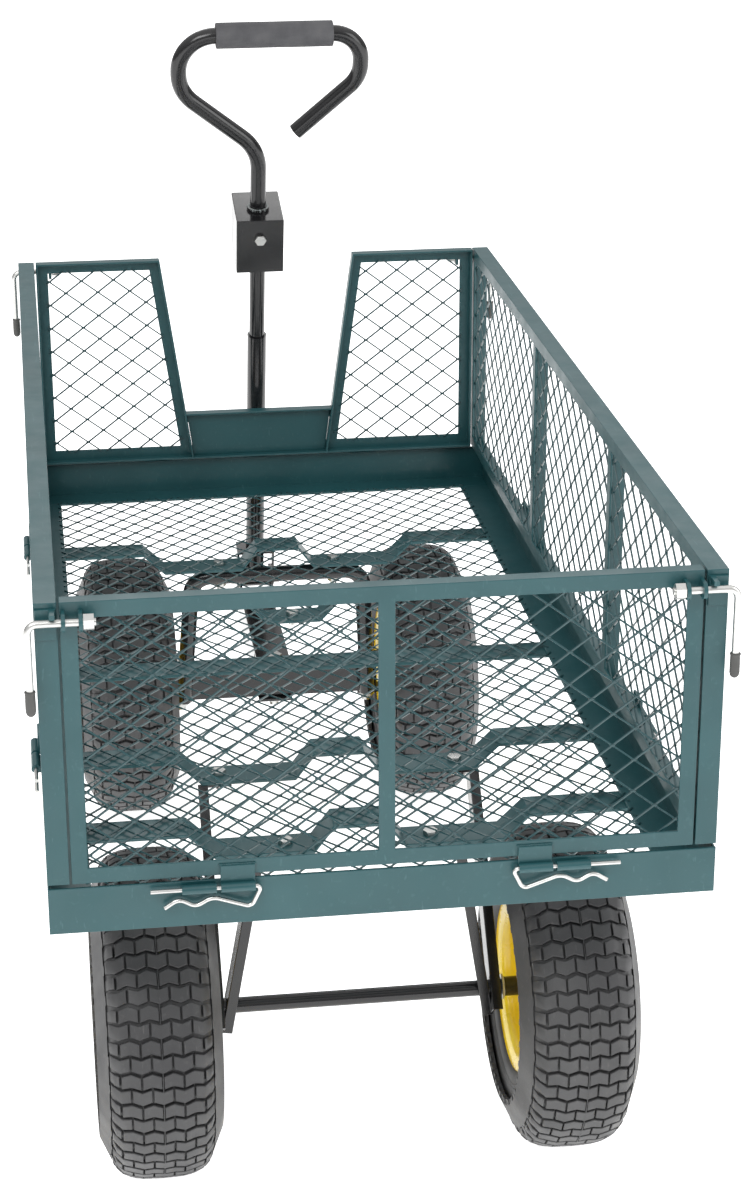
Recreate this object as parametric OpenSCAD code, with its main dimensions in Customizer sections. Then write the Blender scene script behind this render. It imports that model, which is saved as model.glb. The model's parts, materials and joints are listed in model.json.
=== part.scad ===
// Four-wheel steel garden cart with a mesh tray, fold-down mesh panels and a pull handle.
// Millimetres. +X is to the right seen from behind, +Y forward to the handle, +Z up.
// The wheels stand on z = 0. Distances along Y are written from the tray's rear face.

/* [Tray] */
// Outside width of the tray
tray_w = 610; // [450:10:800]
// Outside length of the tray
tray_l = 1220; // [900:10:1500]
// Height of the tray's top edge above the floor
tray_top = 421; // [380:1:480]
// Height of the tray's lip
lip_h = 45; // [30:1:70]
// Width of the flange that carries the deck
flange_w = 40; // [20:1:60]
// Thickness of the angle steel
rail_t = 3; // [2:0.5:5]
// Width of the cross braces
brace_w = 40; // [25:1:60]
// Thickness of the cross braces
brace_t = 4; // [2:0.5:6]
// Depth of the dips pressed into the braces
brace_dip = 25; // [10:1:40]
// Thickness of the flat sheet that stands for expanded metal
mesh_t = 1.2; // [1:0.1:3]

/* [Panels] */
// Height of the panels above the tray's top edge
panel_h = 273; // [150:1:400]
// Thickness of the side panels
side_t = 20; // [12:1:30]
// Thickness of the end panels
end_t = 15; // [10:1:25]
// Width of the frame bars
bar_w = 15; // [10:1:25]
// Thickness of the frame's angle steel
bar_t = 2.5; // [1.5:0.5:4]
// Half the width of the front notch at its top
notch_top = 125; // [80:1:180]
// Half the width of the front notch at its bottom
notch_low = 96; // [60:1:150]
// Height of the notch's bar above the tray's top edge
notch_z = 66; // [30:1:120]

/* [Wheels] */
// Tyre's outside diameter
tyre_d = 330; // [250:1:400]
// Tyre's width at the sidewalls
tyre_w = 105; // [80:1:130]
// Rim flange diameter
rim_d = 174; // [150:1:200]
// Bead seat diameter
bead_d = 152; // [120:1:180]
// Hub length
hub_l = 56; // [40:1:80]
// Axle diameter
axle_d = 16; // [12:1:20]
// Distance of the rear axle from the tray's rear face
rear_axle_y = 220; // [150:1:350]
// Half the distance between the rear wheels
rear_track = 206; // [170:1:260]
// Distance of the front axle from the tray's rear face
front_axle_y = 1068; // [900:1:1150]
// Half the distance between the front wheels
front_track = 192; // [170:1:260]

/* [Steering and handle] */
// Half the distance between the kingpins
kingpin_x = 122; // [100:1:140]
// Distance of the handle's pivot from the tray's rear face
pivot_y = 1328; // [1280:1:1400]
// Height of the handle's pivot above the floor
pivot_z = 208; // [150:1:260]
// Backward lean of the stowed handle, in degrees
lean = 15.7; // [5:0.1:25]
// Diameter of the handle's lower tube
tube_d = 25; // [20:1:35]
// Diameter of the handle's upper rod
rod_d = 20; // [14:1:25]
// Distance from the handle's pivot to the grip
grip_w = 816; // [650:1:950]
// Length of the foam grip
grip_l = 143; // [100:1:160]
// Diameter of the foam grip
grip_d = 31.5; // [26:0.5:38]
// Diameter of the bent tube hoop
hoop_d = 20; // [14:1:28]

/* [Latches and hinges] */
// Outside diameter of the hinge barrels
barrel_d = 9; // [8:0.5:14]
// Diameter of the spring clip's wire
wire_d = 4; // [3:0.5:6]
// Diameter of the latch rods
latch_d = 7; // [6:1:10]
// Height of the latch rods above the tray's top edge
latch_z = 258; // [120:1:380]

/* [Hidden] */
$fn = 64;
// Radial clearance of a shaft in its bore
fit = 0.05;
// Tray, deck and braces
half_w = tray_w / 2;
flange_z = tray_top - lip_h;
deck_z = flange_z + rail_t;
brace_edge = half_w - 15;
brace_y = [205, 375, 607, 815, 1000];
dip_z = flange_z - brace_dip;
dip_under = dip_z - brace_t;
foot_t = 3;
dip_bolt_r = 4;
// Each bolt through a dip: place, distance from the rear, thickness held under the brace
dip_bolts = [[72, brace_y[0], foot_t], [124, brace_y[1], foot_t], [72, brace_y[4], hoop_d]];
// Rear axle
axle_z = tyre_d / 2;
strut_w = 25;
strut_t = 3;
strut_edge = 10.5;
strut_below = 25;
strut_low = [133, 137.5];
strut_top = [103, 138];
spacer_r = 10;
nut_r = 12;
// Front axle and steering
bolt_r = 6;
beam_d = 36;
beam_h = 40;
beam_half = kingpin_x + 12;
beam_top = axle_z + beam_h / 2;
beam_low = axle_z - beam_h / 2;
hoop_top_x = 108;
hoop_low_x = 120;
hoop_bend = 25;
hoop_z = dip_under - hoop_d / 2;
hoop_y = 994;
hoop_foot_y = front_axle_y - beam_d / 2 - hoop_d / 2 + 1;
hoop_foot_z = beam_low + 5;
plate_t = 4;
plate_gap = 0.5;
plate_top = beam_top + plate_gap;
plate_low = beam_low - plate_gap;
arm_l = 50;
arm_w = 18;
tie_pin_r = 4;
tie_t = 5;
tie_z1 = plate_low - plate_t - 3;
tie_z0 = tie_z1 - tie_t;
tie_y = front_axle_y + arm_l;
drawbar_w = 44;
clevis_in = drawbar_w / 2 + 0.5;
clevis_out = clevis_in + 3;
clevis_w = 28;
clevis_top = 52;
ear_in = drawbar_w / 2 - 3;
ear_r = 18;
// Handle, along its own length from the pivot
tube_top = 394;
box_w = 542;
box_size = [60, 79, 74];
box_back = -33;
box_front = box_back + box_size.y;
box_wall = 3;
hitch_r = 4;
hitch_w = box_w + 11;
loop = [[0, tube_top - 58 - grip_w], [0, -153.7], [-99, -72.7], [-99, 0],
    [125, 0], [125, -58.5], [46, -131]];
loop_bends = [55, 49, 45.4, 35.4, 39.5];
// Panels
side_in = half_w - side_t;
end_half = side_in - 2;
panel_gap = 4;
panel_z0 = tray_top + panel_gap;
panel_z1 = tray_top + panel_h;
stiffener_y = [395, 795];
slope = atan2(notch_top - notch_low, panel_h - notch_z);
notch_bottom = notch_x(panel_gap);
// Hinges and latches
hinge_out = 6;
hinge_z = tray_top - 5.5;
hinge_x = 153;
side_hinge_y = [305, 915];
barrel_l = 31;
barrel_gap = 4;
latch_out = 10;
latch_r = latch_d / 2;
latch_handle_x = half_w + 6;
latch_drop = 83;
latch_bend = 9;
latch_grip_r = 5;
ring_r = 8;
ring_t = 3.5;
ring_x = [half_w - 40, end_half - 3];
nut_l = 9;
// Puts the middle of the cart's length at y = 0
rear_y = -(pivot_y + ear_r - latch_out - ring_r) / 2;

green = [0.27, 0.44, 0.46];
black = [0.09, 0.09, 0.1];
zinc = [0.72, 0.73, 0.75];
yellow = [0.95, 0.75, 0.05];
rubber = [0.14, 0.14, 0.15];
foam = [0.22, 0.22, 0.24];

// Half the notch's width at a height above the tray's top edge
function notch_x(height) = notch_low + (height - notch_z) * tan(slope);
function unit(v) = v / norm(v);
function turn(p, i) = let (a = unit(p[i] - p[i - 1]), b = unit(p[i + 1] - p[i]))
    atan2(a.x * b.y - a.y * b.x, a.x * b.x + a.y * b.y);
function cut(p, b, i) = i == 0 || i == len(p) - 1 ? 0 : b[i - 1] * tan(abs(turn(p, i)) / 2);

// Everything along Y is measured from the tray's rear face
module cart() { translate([0, rear_y, 0]) children(); }

module box(x0, x1, y0, y1, z0, z1) {
    translate([min(x0, x1), min(y0, y1), min(z0, z1)])
        cube([abs(x1 - x0), abs(y1 - y0), abs(z1 - z0)]);
}

module along_x(x0, x1, y, z, r) {
    translate([min(x0, x1), y, z]) rotate([0, 90, 0]) cylinder(h = abs(x1 - x0), r = r);
}

module along_y(x, y0, y1, z, r) {
    translate([x, min(y0, y1), z]) rotate([-90, 0, 0]) cylinder(h = abs(y1 - y0), r = r);
}

module along_z(x, y, z0, z1, r) { translate([x, y, z0]) cylinder(h = z1 - z0, r = r); }

// A round rod in the XY plane through the points p, its corners bent to the radii b.
// The straights run a little way into the bends, which are a hair thicker.
module bent_rod(p, b, r) {
    reach = 0.3;
    swell = 0.03;
    last = len(p) - 2;
    for (i = [0 : last]) {
        u = unit(p[i + 1] - p[i]);
        before = i > 0 ? reach : 0;
        after = i < last ? reach : 0;
        from = p[i] + u * (cut(p, b, i) - before);
        length = norm(p[i + 1] - p[i]) - cut(p, b, i) - cut(p, b, i + 1) + before + after;
        translate([from.x, from.y, 0]) rotate([0, 90, atan2(u.y, u.x)])
            cylinder(h = length, r = r);
    }
    for (i = [1 : last]) {
        u = unit(p[i] - p[i - 1]);
        bend = turn(p, i);
        side = sign(bend);
        from = p[i] - u * cut(p, b, i);
        centre = from + side * b[i - 1] * [-u.y, u.x];
        start = atan2(from.y - centre.y, from.x - centre.x);
        translate([centre.x, centre.y, 0]) rotate([0, 0, bend > 0 ? start : start + bend])
            rotate_extrude(angle = abs(bend)) translate([b[i - 1], 0]) circle(r = r + swell);
    }
}

module mirrored() { children(); mirror([1, 0, 0]) children(); }

// Swaps the cart's front and rear ends
module at_front() { translate([0, tray_l, 0]) mirror([0, 1, 0]) children(); }

/* Tray */

module side_rail(side) color(green) cart() {
    box(side * (half_w - rail_t), side * half_w, rail_t, tray_l - rail_t, flange_z, tray_top);
    box(side * (half_w - flange_w), side * half_w, flange_w, tray_l - flange_w, flange_z, deck_z);
}

module end_rail() color(green) {
    box(-half_w, half_w, 0, rail_t, flange_z, tray_top);
    box(-half_w + rail_t, half_w - rail_t, 0, flange_w, flange_z, deck_z);
}

module tray_rail_left() side_rail(-1);
module tray_rail_right() side_rail(1);
module tray_rail_rear() cart() end_rail();
module tray_rail_front() cart() at_front() end_rail();

module deck_mesh() color(green) cart() {
    inset = half_w - end_half + 1;
    box(-end_half + 1, end_half - 1, inset, tray_l - inset, deck_z, deck_z + mesh_t);
}

// Half of a brace profile with two dips, as points from the centre outwards
function w_edge(z) = [[26, z], [45, z - brace_dip], [142, z - brace_dip], [168, z], [brace_edge, z]];

// Half of a brace profile with one dip in the middle
function dip_edge(z) = [[32, z - brace_dip], [56, z], [brace_edge, z]];

// A flat bar pressed to the profile between the edges upper and lower, drilled at the places bolts
module pressed_brace(y, upper, lower, bolts) color(green) cart() difference() {
    half = len(upper) - 1;
    translate([0, y + brace_w / 2, flange_z]) rotate([90, 0, 0]) linear_extrude(brace_w)
        polygon([
            for (i = [0 : half]) upper[i],
            for (i = [half : -1 : 0]) lower[i],
            for (i = [0 : half]) [-lower[i].x, lower[i].y],
            for (i = [half : -1 : 0]) [-upper[i].x, upper[i].y]
        ]);
    for (x = bolts) along_z(x, y, dip_under - 1, dip_z + 1, dip_bolt_r + 0.1);
}

module brace_rear() pressed_brace(brace_y[0], w_edge(0), w_edge(-brace_t),
    [-dip_bolts[0].x, dip_bolts[0].x]);
module brace_mid_rear() pressed_brace(brace_y[1], w_edge(0), w_edge(-brace_t),
    [-dip_bolts[1].x, dip_bolts[1].x]);
module brace_centre() color(green) cart()
    box(-brace_edge, brace_edge, brace_y[2] - brace_w / 2, brace_y[2] + brace_w / 2,
        flange_z - brace_t, flange_z);
module brace_mid_front() pressed_brace(brace_y[3], dip_edge(0), dip_edge(-brace_t), [0]);
module brace_front() pressed_brace(brace_y[4], w_edge(0), w_edge(-brace_t),
    [-dip_bolts[2].x, dip_bolts[2].x]);

// A hexagon bolt pointing down, its head on z1 and its nut under z0
module bolt_down(z0, z1, r) {
    head = r * 1.2;
    translate([0, 0, z1]) cylinder(h = head, r = r * 1.9, $fn = 6);
    translate([0, 0, z0 - head]) cylinder(h = head, r = r * 1.9, $fn = 6);
    translate([0, 0, z0 - head - r]) cylinder(h = z1 - z0 + head + r + 1, r = r);
}

module brace_bolts() color(zinc) cart() {
    mirrored() for (bolt = dip_bolts) translate([bolt.x, bolt.y, 0])
        bolt_down(dip_under - bolt.z, dip_z, dip_bolt_r);
    translate([0, brace_y[3], 0]) bolt_down(dip_under, dip_z, dip_bolt_r);
}

/* Rear axle */

module rear_axle() color(black) cart() {
    end = rear_track + hub_l / 2 + 0.5;
    along_x(-end - 12, end + 12, rear_axle_y, axle_z, axle_d / 2 - fit);
    mirrored() translate([end, rear_axle_y, axle_z]) rotate([0, 90, 0])
        cylinder(h = 9, r = nut_r, $fn = 6);
}

// An angle-section bar from the point a, through b and on for the length extra
module strut_bar(a, b, extra, inward) {
    d = b - a;
    translate(a) rotate([asin(d.y / norm(d)), atan2(-d.x, -d.z), 0])
        translate([0, 0, -norm(d) - extra]) {
            translate([-strut_t / 2, -strut_w / 2, 0])
                cube([strut_t, strut_w, norm(d) + 2 * extra]);
            mirror([inward ? 1 : 0, 0, 0]) translate([-strut_t / 2, -strut_w / 2, 0])
                cube([strut_edge, strut_t, norm(d) + 2 * extra]);
        }
}

// A strut from the foot that the bolt holds, down to the axle and a little below it
module strut(top, bolt, low_x, inward) {
    difference() {
        strut_bar([top.x, top.y, dip_under - foot_t], [low_x, rear_axle_y, axle_z], strut_below,
            inward);
        box(top.x - 60, top.x + 60, top.y - 100, top.y + 100, dip_under, tray_top + 100);
        along_x(low_x - 20, low_x + 20, rear_axle_y, axle_z, axle_d / 2);
    }
    difference() {
        box(bolt.x - 12, top.x + 5, top.y - strut_w / 2, top.y + strut_w / 2,
            dip_under - foot_t, dip_under);
        along_z(bolt.x, bolt.y, dip_under - foot_t - 1, dip_under + 1, dip_bolt_r + 0.1);
    }
}

module axle_struts() color(black) cart() mirrored() {
    strut([strut_top[0], brace_y[0]], dip_bolts[0], strut_low[0], true);
    strut([strut_top[1], brace_y[1] - 6], dip_bolts[1], strut_low[1], false);
}

module axle_spacers() color(black) cart() mirrored() difference() {
    along_x(strut_low[1] + strut_edge, rear_track - hub_l / 2 - 0.4, rear_axle_y, axle_z, spacer_r);
    along_x(strut_low[1], rear_track, rear_axle_y, axle_z, axle_d / 2);
}

/* Front axle and steering */

module front_hoop() color(black) cart() {
    drop = hoop_z - hoop_foot_z;
    run = hoop_foot_y - hoop_y;
    foot = -norm([drop, run]);
    difference() {
        translate([0, hoop_y, hoop_z]) rotate([90 + atan2(run, drop), 0, 0])
            bent_rod([[-hoop_low_x, foot], [-hoop_top_x, 0], [hoop_top_x, 0], [hoop_low_x, foot]],
                [hoop_bend, hoop_bend], hoop_d / 2);
        box(-beam_half, beam_half, front_axle_y - beam_d / 2, front_axle_y + beam_d / 2,
            0, beam_top);
        mirrored() along_z(dip_bolts[2].x, brace_y[4], hoop_z - hoop_d, hoop_z + hoop_d,
            dip_bolt_r + 0.1);
    }
}

module steering_beam() color(black) cart() difference() {
    wall = 3;
    box(-beam_half, beam_half, front_axle_y - beam_d / 2, front_axle_y + beam_d / 2,
        beam_low, beam_top);
    box(-beam_half - 1, beam_half + 1, front_axle_y - beam_d / 2 + wall,
        front_axle_y + beam_d / 2 - wall, beam_low + wall, beam_top - wall);
    for (x = [-kingpin_x, 0, kingpin_x])
        along_z(x, front_axle_y, beam_low - 1, beam_top + 1, bolt_r);
}

module steering_bolts() color(zinc) cart() for (x = [-kingpin_x, 0, kingpin_x])
    translate([x, front_axle_y, 0])
        bolt_down(plate_low - plate_t - 0.4, plate_top + plate_t + 0.4, bolt_r - fit);

module tie_pin(x, z1) {
    along_z(x, tie_y, tie_z0 - 4, z1, tie_pin_r - fit);
    translate([x, tie_y, tie_z0 - 4]) cylinder(h = 3.5, r = tie_pin_r * 1.7, $fn = 6);
}

module drawbar() color(black) cart() {
    front = pivot_y - 22;
    difference() {
        union() {
            box(-drawbar_w / 2, drawbar_w / 2, front_axle_y - 26, front, plate_top,
                plate_top + plate_t);
            box(-drawbar_w / 2, drawbar_w / 2, front_axle_y - 26, front, plate_low - plate_t,
                plate_low);
            mirrored() {
                box(ear_in, drawbar_w / 2, front_axle_y + 34, pivot_y + ear_r,
                    plate_low - plate_t, plate_top + plate_t);
                box(ear_in, drawbar_w / 2, pivot_y - ear_r, pivot_y + ear_r,
                    plate_top, pivot_z);
                along_x(ear_in, drawbar_w / 2, pivot_y, pivot_z, ear_r);
            }
        }
        along_z(0, front_axle_y, plate_low - 10, plate_top + 10, bolt_r);
        along_x(-drawbar_w, drawbar_w, pivot_y, pivot_z, bolt_r);
    }
    tie_pin(0, plate_low - plate_t);
}

module tongue_bolt() color(zinc) cart() {
    end = clevis_out + 0.4;
    along_x(-end - 4, end + 12, pivot_y, pivot_z, bolt_r - fit);
    translate([-end - 7, pivot_y, pivot_z]) rotate([0, 90, 0]) cylinder(h = 7, r = 11, $fn = 6);
    translate([end, pivot_y, pivot_z]) rotate([0, 90, 0]) cylinder(h = 8, r = 11, $fn = 6);
}

module knuckle(side) color(black) cart() {
    web = front_track - tyre_w / 2 + 0.5;
    hub_in = front_track - hub_l / 2 - 0.5;
    hub_out = front_track + hub_l / 2 + 0.5;
    mirror([side < 0 ? 1 : 0, 0, 0]) {
        difference() {
            union() {
                for (z = [plate_top, plate_low - plate_t])
                    box(kingpin_x - 13, web + 5, front_axle_y - 14, front_axle_y + 14,
                        z, z + plate_t);
                box(kingpin_x - arm_w / 2, kingpin_x + arm_w / 2, front_axle_y, tie_y,
                    plate_low - plate_t, plate_low);
                along_z(kingpin_x, tie_y, plate_low - plate_t, plate_low, arm_w / 2);
            }
            along_z(kingpin_x, front_axle_y, plate_low - 10, plate_top + 10, bolt_r);
        }
        box(web, web + 5, front_axle_y - 14, front_axle_y + 14, plate_low - plate_t,
            plate_top + plate_t);
        along_x(web + 5, hub_in, front_axle_y, axle_z, spacer_r + 1);
        along_x(web + 5, hub_out + 11, front_axle_y, axle_z, axle_d / 2 - fit);
        translate([hub_out, front_axle_y, axle_z]) rotate([0, 90, 0])
            cylinder(h = 9, r = nut_r, $fn = 6);
        tie_pin(kingpin_x, plate_low - plate_t);
    }
}

module knuckle_left() knuckle(-1);
module knuckle_right() knuckle(1);

module tie_bar() color(black) cart() difference() {
    union() {
        box(-kingpin_x, kingpin_x, tie_y - arm_w / 2, tie_y + arm_w / 2, tie_z0, tie_z1);
        for (x = [-kingpin_x, kingpin_x]) along_z(x, tie_y, tie_z0, tie_z1, arm_w / 2);
    }
    along_z(0, tie_y, tie_z0 - 1, tie_z1 + 1, tie_pin_r);
    for (x = [-kingpin_x, kingpin_x])
        along_z(x, tie_y, tie_z0 - 1, tie_z1 + 1, tie_pin_r + 0.35);
}

/* Handle: drawn upright from its pivot, then leaned back */

module handle() {
    translate([0, pivot_y, pivot_z]) rotate([lean, 0, 0]) children();
}

module tongue_tube() color(black) cart() handle() difference() {
    union() {
        along_z(0, 0, 0, tube_top, tube_d / 2);
        along_x(-ear_in + 0.5, ear_in - 0.5, 0, 0, tube_d / 2);
        box(-clevis_out, clevis_out, -clevis_w / 2, clevis_w / 2, clevis_top - 3, clevis_top);
        mirrored() {
            box(clevis_in, clevis_out, -clevis_w / 2, clevis_w / 2, 0, clevis_top);
            along_x(clevis_in, clevis_out, 0, 0, clevis_w / 2);
        }
    }
    along_z(0, 0, tube_top - 60, tube_top + 1, rod_d / 2);
    along_z(0, 0, 20, tube_top - 59, tube_d / 2 - 2.5);
    along_x(-drawbar_w, drawbar_w, 0, 0, bolt_r);
}

module handle_rod() color(black) cart() handle() difference() {
    translate([0, 0, grip_w]) rotate([90, 0, 0])
        bent_rod(loop, loop_bends, rod_d / 2);
    along_y(0, -rod_d, rod_d, hitch_w, hitch_r);
}

module foam_grip() color(foam) cart() handle() difference() {
    along_x(18 - grip_l / 2, 18 + grip_l / 2, 0, grip_w, grip_d / 2);
    along_x(-grip_l, grip_l, 0, grip_w, rod_d / 2);
}

module hitch_box() color(black) cart() handle() difference() {
    union() {
        translate([-box_size.x / 2, box_back, box_w - box_size.z / 2]) cube(box_size);
        along_z(0, 0, box_w + box_size.z / 2, box_w + box_size.z / 2 + 4, rod_d / 2 + 4);
    }
    translate([-box_size.x / 2 + box_wall, box_back + box_wall,
        box_w - box_size.z / 2 - 1])
        cube([box_size.x - 2 * box_wall, box_size.y - 2 * box_wall, box_size.z - box_wall + 1]);
    along_z(0, 0, box_w, box_w + box_size.z, rod_d / 2);
    along_y(0, -box_size.y, box_size.y, hitch_w, hitch_r);
}

module hitch_bolt() color(zinc) cart() handle() {
    along_y(0, box_back - 3, box_front + 10, hitch_w, hitch_r - fit);
    translate([0, box_back, hitch_w]) rotate([90, 0, 0]) cylinder(h = 5, r = 7.5, $fn = 6);
    translate([0, box_front + 7, hitch_w]) rotate([90, 0, 0]) cylinder(h = 7, r = 7.5, $fn = 6);
}

/* Wheels: drawn about the Z axis, then laid on their side */

module wheel_at(x, y) {
    cart() translate([x, y, axle_z]) rotate([0, 90, 0]) children();
}

// One half of the tyre's outline, a rounded square from the bead to the crown
function tyre_side(inset) = [for (a = [-50 : 10 : 90])
    let (c = cos(a), s = sin(a), p = 0.62,
         deep = (tyre_d - bead_d) / 4 - inset, wide = tyre_w / 2 - inset)
    [(tyre_d + bead_d) / 4 + deep * sign(s) * pow(abs(s), p), wide * pow(c < 0 ? 0 : c, p)]];

module tyre() color(rubber) {
    outer = tyre_side(0);
    inner = tyre_side(9);
    last = len(outer) - 1;
    bead = [[bead_d / 2 + 0.1, 43], [rim_d / 2 + 1, 43.5]];
    open = [[bead_d / 2 + 0.1, 33]];
    rotate_extrude() polygon(concat(
        bead,
        [for (i = [0 : last]) if (outer[i].x > rim_d / 2 + 4) outer[i]],
        [for (i = [last : -1 : 0]) if (outer[i].x > rim_d / 2 + 4) [outer[i].x, -outer[i].y]],
        [for (i = [1 : -1 : 0]) [bead[i].x, -bead[i].y]],
        [[open[0].x, -open[0].y]],
        [for (i = [0 : last]) if (inner[i].x > rim_d / 2 + 4) [inner[i].x, -inner[i].y]],
        [for (i = [last : -1 : 0]) if (inner[i].x > rim_d / 2 + 4) inner[i]],
        open));
}

module rim() color(yellow) {
    sheet = 3;
    seat = bead_d / 2;
    flange = 44;
    hub_r = 17.5;
    difference() {
        union() {
            for (side = [-1, 1]) mirror([0, 0, side < 0 ? 1 : 0]) {
                translate([0, 0, flange]) difference() {
                    cylinder(h = sheet, r = rim_d / 2);
                    translate([0, 0, -1]) cylinder(h = sheet + 2, r = seat - sheet);
                }
            }
            difference() {
                translate([0, 0, -flange - 1]) cylinder(h = 2 * flange + 2, r = seat);
                translate([0, 0, -flange - 2]) cylinder(h = 2 * flange + 4, r = seat - sheet);
            }
            translate([0, 0, -sheet / 2]) cylinder(h = sheet, r = seat - 1);
            translate([0, 0, -hub_l / 2]) cylinder(h = hub_l, r = hub_r);
        }
        translate([0, 0, -hub_l]) cylinder(h = 2 * hub_l, r = axle_d / 2);
    }
}

module tyre_rear_left() wheel_at(-rear_track, rear_axle_y) tyre();
module rim_rear_left() wheel_at(-rear_track, rear_axle_y) rim();
module tyre_rear_right() wheel_at(rear_track, rear_axle_y) tyre();
module rim_rear_right() wheel_at(rear_track, rear_axle_y) rim();
module tyre_front_left() wheel_at(-front_track, front_axle_y) tyre();
module rim_front_left() wheel_at(-front_track, front_axle_y) rim();
module tyre_front_right() wheel_at(front_track, front_axle_y) tyre();
module rim_front_right() wheel_at(front_track, front_axle_y) rim();

/* Hinges and spring clips */

// One barrel drawn along +X from x0, with its pin at the origin of Y and Z
module barrel(x0) difference() {
    along_x(x0, x0 + barrel_l, 0, 0, barrel_d / 2);
    along_x(x0 - 1, x0 + barrel_l + 1, 0, 0, wire_d / 2);
}

// The tray's barrel, with a weld foot against the lip at y = hinge_out
module fixed_barrel() difference() {
    union() {
        barrel(barrel_gap / 2);
        box(barrel_gap / 2, barrel_gap / 2 + barrel_l, 0, hinge_out, -4, 1);
    }
    along_x(0, 2 * barrel_l, 0, 0, wire_d / 2);
}

// The panel's barrel, with a tab that reaches up to the panel's bottom bar
module moving_barrel() difference() {
    union() {
        barrel(-barrel_gap / 2 - barrel_l);
        box(-barrel_gap / 2 - barrel_l, -barrel_gap / 2, hinge_out - 3.2, hinge_out - 0.6, 0, 20);
        box(-barrel_gap / 2 - barrel_l, -barrel_gap / 2, hinge_out - 1, hinge_out, 9, 20);
    }
    along_x(-2 * barrel_l, 0, 0, 0, wire_d / 2);
}

// Spring clip: its straight leg is the hinge pin, its wavy leg runs below the barrels
module spring_clip() rotate([90, 0, 0])
    bent_rod([[61, 0], [-39, 0], [-29, -20.5], [6, -8.5], [21, -17], [36, -8.5], [49, -17]],
        [3.5, 6, 14, 10, 10], wire_d / 2 - fit);

// Places a hinge drawn along +X at the rear lip, right of the middle
module rear_hinge() translate([hinge_x, -hinge_out, hinge_z]) children();

// Places a hinge at the right lip, turned so that its clip points rearward
module side_hinge(y) translate([half_w + hinge_out, y, hinge_z]) rotate([0, 0, 90]) mirror([1, 0, 0])
    children();

module tray_hinge_barrels() color(green) cart() mirrored() {
    rear_hinge() fixed_barrel();
    at_front() rear_hinge() fixed_barrel();
    for (y = side_hinge_y) side_hinge(y) fixed_barrel();
}

module front_hinge_clips() color(zinc) cart() mirrored() at_front() rear_hinge() spring_clip();
module clip_rear_right() color(zinc) cart() rear_hinge() spring_clip();
module clip_rear_left() color(zinc) cart() mirror([1, 0, 0]) rear_hinge() spring_clip();
module clip_right_rear() color(zinc) cart() side_hinge(side_hinge_y[0]) spring_clip();
module clip_right_front() color(zinc) cart() side_hinge(side_hinge_y[1]) spring_clip();
module clip_left_rear() color(zinc) cart() mirror([1, 0, 0])
    side_hinge(side_hinge_y[0]) spring_clip();
module clip_left_front() color(zinc) cart() mirror([1, 0, 0])
    side_hinge(side_hinge_y[1]) spring_clip();

/* Side panels: drawn on the right */

module hook() {
    wall = 3;
    box(half_w - 19, half_w - 1, -wall, 0.2, panel_z1 - 33, panel_z1 - 5);
    box(half_w - 18, half_w - 13, -latch_out - ring_r + 1, -wall + 0.5,
        tray_top + latch_z + 5.5, tray_top + latch_z + 10);
}

module side_panel() {
    low = panel_z0;
    high = panel_z1;
    leg = side_in + bar_t;
    box(side_in, half_w, 0, tray_l, high - bar_t, high);
    box(side_in, half_w, 0, tray_l, low, low + bar_t);
    box(side_in, leg, 0, tray_l, high - bar_w, high);
    box(side_in, leg, 0, tray_l, low, low + bar_w);
    for (y = [0, tray_l - bar_t]) box(side_in, half_w, y, y + bar_t, low, high);
    for (y = [0, tray_l - bar_w]) box(side_in, leg, y, y + bar_w, low, high);
    for (y = stiffener_y) {
        box(side_in, leg, y - bar_w / 2, y + bar_w / 2, low, high);
        box(side_in, half_w - 3, y - bar_t / 2, y + bar_t / 2, low, high);
    }
    for (y = side_hinge_y) side_hinge(y) moving_barrel();
    hook();
    at_front() hook();
}

module side_mesh() box(side_in + bar_t, side_in + bar_t + mesh_t, bar_t, tray_l - bar_t,
    panel_z0 + bar_t, panel_z1 - bar_t);

module mesh_cut() for (y = stiffener_y)
    box(half_w - side_t, half_w, y - bar_t / 2, y + bar_t / 2, tray_top - 10, panel_z1 + 10);

module right_panel_frame() color(green) cart() side_panel();
module right_panel_mesh() color(green) cart() difference() { side_mesh(); mesh_cut(); }
module left_panel_frame() color(green) cart() mirror([1, 0, 0]) side_panel();
module left_panel_mesh() color(green) cart() mirror([1, 0, 0])
    difference() { side_mesh(); mesh_cut(); }

/* End panels: drawn at the rear */

// The two rings that carry a latch rod, each with a web back to the panel's face
module latch_rings() mirrored() difference() {
    z = tray_top + latch_z;
    for (x = ring_x) {
        along_x(x - ring_t / 2, x + ring_t / 2, -latch_out, z, ring_r);
        box(x - ring_t / 2, x + ring_t / 2, -latch_out, 0.2, z - ring_r, z + ring_r);
    }
    along_x(ring_x[0] - ring_t, ring_x[1] + ring_t, -latch_out, z, latch_r);
}

module end_bars() {
    low = panel_z0;
    high = panel_z1;
    box(-end_half, end_half, 0, end_t, low, low + bar_t);
    box(-end_half, end_half, 0, bar_t, low, low + bar_w);
    mirrored() {
        box(end_half - bar_w, end_half, 0, bar_t, low, high);
        box(end_half - bar_t, end_half, 0, end_t, low, high);
        rear_hinge() moving_barrel();
    }
    latch_rings();
}

module gate_frame() color(green) cart() {
    end_bars();
    box(-end_half, end_half, 0, end_t, panel_z1 - bar_t, panel_z1);
    box(-end_half, end_half, 0, bar_t, panel_z1 - bar_w, panel_z1);
    box(-bar_w / 2, bar_w / 2, 0, bar_t, panel_z0, panel_z1);
}

module gate_mesh() color(green) cart()
    box(-end_half + bar_t, end_half - bar_t, bar_t, bar_t + mesh_t, panel_z0 + bar_t,
        panel_z1 - bar_t);

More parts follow.
